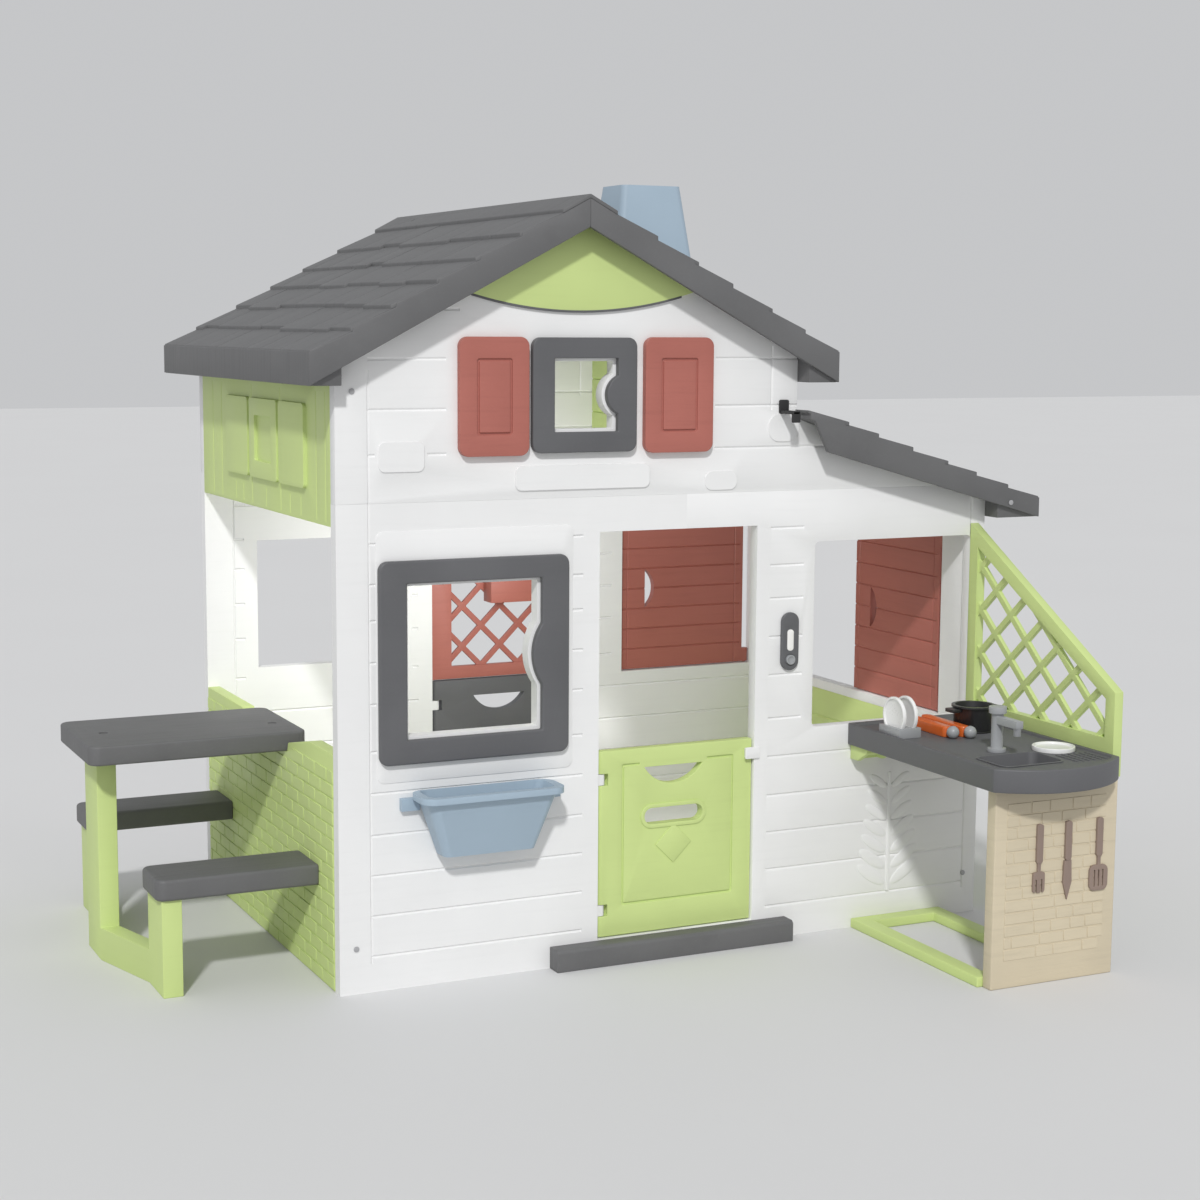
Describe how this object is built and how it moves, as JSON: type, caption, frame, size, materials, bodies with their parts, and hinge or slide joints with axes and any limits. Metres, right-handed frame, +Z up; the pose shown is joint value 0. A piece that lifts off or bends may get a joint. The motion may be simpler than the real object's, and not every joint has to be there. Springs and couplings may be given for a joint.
{
  "type": "plastic playhouse",
  "caption": "Moulded plastic playhouse with gable and lean-to roofs, half doors, shutters, picnic table and a play kitchen.",
  "frame": {"origin": "centre of the whole object's footprint, on the ground", "axes": "+X to the right along the front wall, +Y from the front to the back, +Z up"},
  "size_m": [2.109, 1.7, 1.697],
  "materials": {
    "wall_white": "satin moulded plastic, white",
    "panel_green": "satin moulded plastic, light green",
    "roof_grey": "satin moulded plastic, dark grey",
    "frame_grey": "satin moulded plastic, slate grey",
    "shutter_red": "satin moulded plastic, brick red",
    "soft_blue": "satin moulded plastic, grey blue",
    "kitchen_beige": "satin moulded plastic, beige",
    "cutlery_taupe": "satin moulded plastic, taupe",
    "utensil_orange": "gloss plastic, orange",
    "pot_black": "gloss plastic, black",
    "plate_white": "gloss plastic, white",
    "tap_grey": "gloss plastic, silver grey",
    "bell_lens": "frosted plastic, warm white",
    "hardware": "zinc plated steel"
  },
  "bodies": {
    "house": {"front_panel_left": "wall_white", "front_panel_right": "wall_white", "front_gable_panel": "wall_white", "front_gable_badge": "panel_green", "rear_panel_left": "wall_white", "rear_panel_right": "wall_white", "rear_gable_panel": "wall_white", "left_lower_panel": "panel_green", "left_attic_panel": "panel_green", "right_attic_panel": "panel_green", "right_lower_panel": "panel_green", "right_window_panel": "wall_white", "roof_left": "roof_grey", "roof_right": "roof_grey", "ridge_cap": "roof_grey", "lean_to_roof": "roof_grey", "chimney": "soft_blue", "large_window_frame": "frame_grey", "attic_window_frame": "frame_grey", "attic_shutter_left": "shutter_red", "attic_shutter_right": "shutter_red", "door_stop": "wall_white", "threshold_bar": "roof_grey", "doorbell_plate": "frame_grey", "doorbell_lens": "bell_lens", "doorbell_housing": "frame_grey", "planter": "soft_blue", "rear_lattice": "shutter_red", "letter_box": "shutter_red", "table_top": "roof_grey", "table_support": "panel_green", "bench_front": "roof_grey", "bench_rear": "roof_grey", "kitchen_counter": "frame_grey", "kitchen_sink": "frame_grey", "kitchen_front_panel": "kitchen_beige", "kitchen_base_frame": "panel_green", "kitchen_bracket": "panel_green", "trellis": "panel_green", "kitchen_fork": "cutlery_taupe", "kitchen_knife": "cutlery_taupe", "kitchen_server": "cutlery_taupe", "hob_plate": "pot_black", "plate_rack": "tap_grey", "standing_plates": "plate_white", "flat_plate": "plate_white", "utensil_handles": "utensil_orange", "utensil_tips": "tap_grey", "screws": "hardware"},
    "front_door": {"front_door_leaf": "panel_green", "front_door_pins": "hardware"},
    "rear_door": {"rear_door_leaf": "frame_grey", "rear_door_pins": "hardware"},
    "right_shutter": {"right_shutter": "shutter_red"},
    "rear_shutter": {"rear_shutter": "shutter_red"},
    "bell_button": {"doorbell_button": "tap_grey"},
    "tap": {"tap": "tap_grey"},
    "pot": {"pot": "pot_black"}
  },
  "joints": [
    {"name": "front_door_hinge", "type": "hinge", "parent": "house", "child": "front_door", "pos_m": [-0.0295, -0.2125, 0], "axis": [0, 0, 1], "range_deg": [0, 95]},
    {"name": "rear_door_hinge", "type": "hinge", "parent": "house", "child": "rear_door", "pos_m": [-0.0295, 0.7725, 0], "axis": [0, 0, -1], "range_deg": [0, 95]},
    {"name": "right_shutter_hinge", "type": "hinge", "parent": "house", "child": "right_shutter", "pos_m": [0.9365, -0.094, 0], "axis": [0, 0, -1], "range_deg": [0, 95]},
    {"name": "rear_shutter_hinge", "type": "hinge", "parent": "house", "child": "rear_shutter", "pos_m": [0.8825, 0.781, 0], "axis": [0, 0, -1], "range_deg": [0, 95]},
    {"name": "bell_button_press", "type": "slide", "parent": "house", "child": "bell_button", "axis": [0, 1, 0], "range_m": [0, 0.004], "stiffness_N_per_m": 400, "springref_m": -0.002},
    {"name": "tap_swivel", "type": "hinge", "parent": "house", "child": "tap", "pos_m": [0.7155, -0.615, 0.475], "axis": [0, 0, 1], "range_deg": [-60, 60]},
    {"name": "pot_lift", "type": "slide", "parent": "house", "child": "pot", "axis": [0, 0, 1], "range_m": [0, 0.15]}
  ]
}
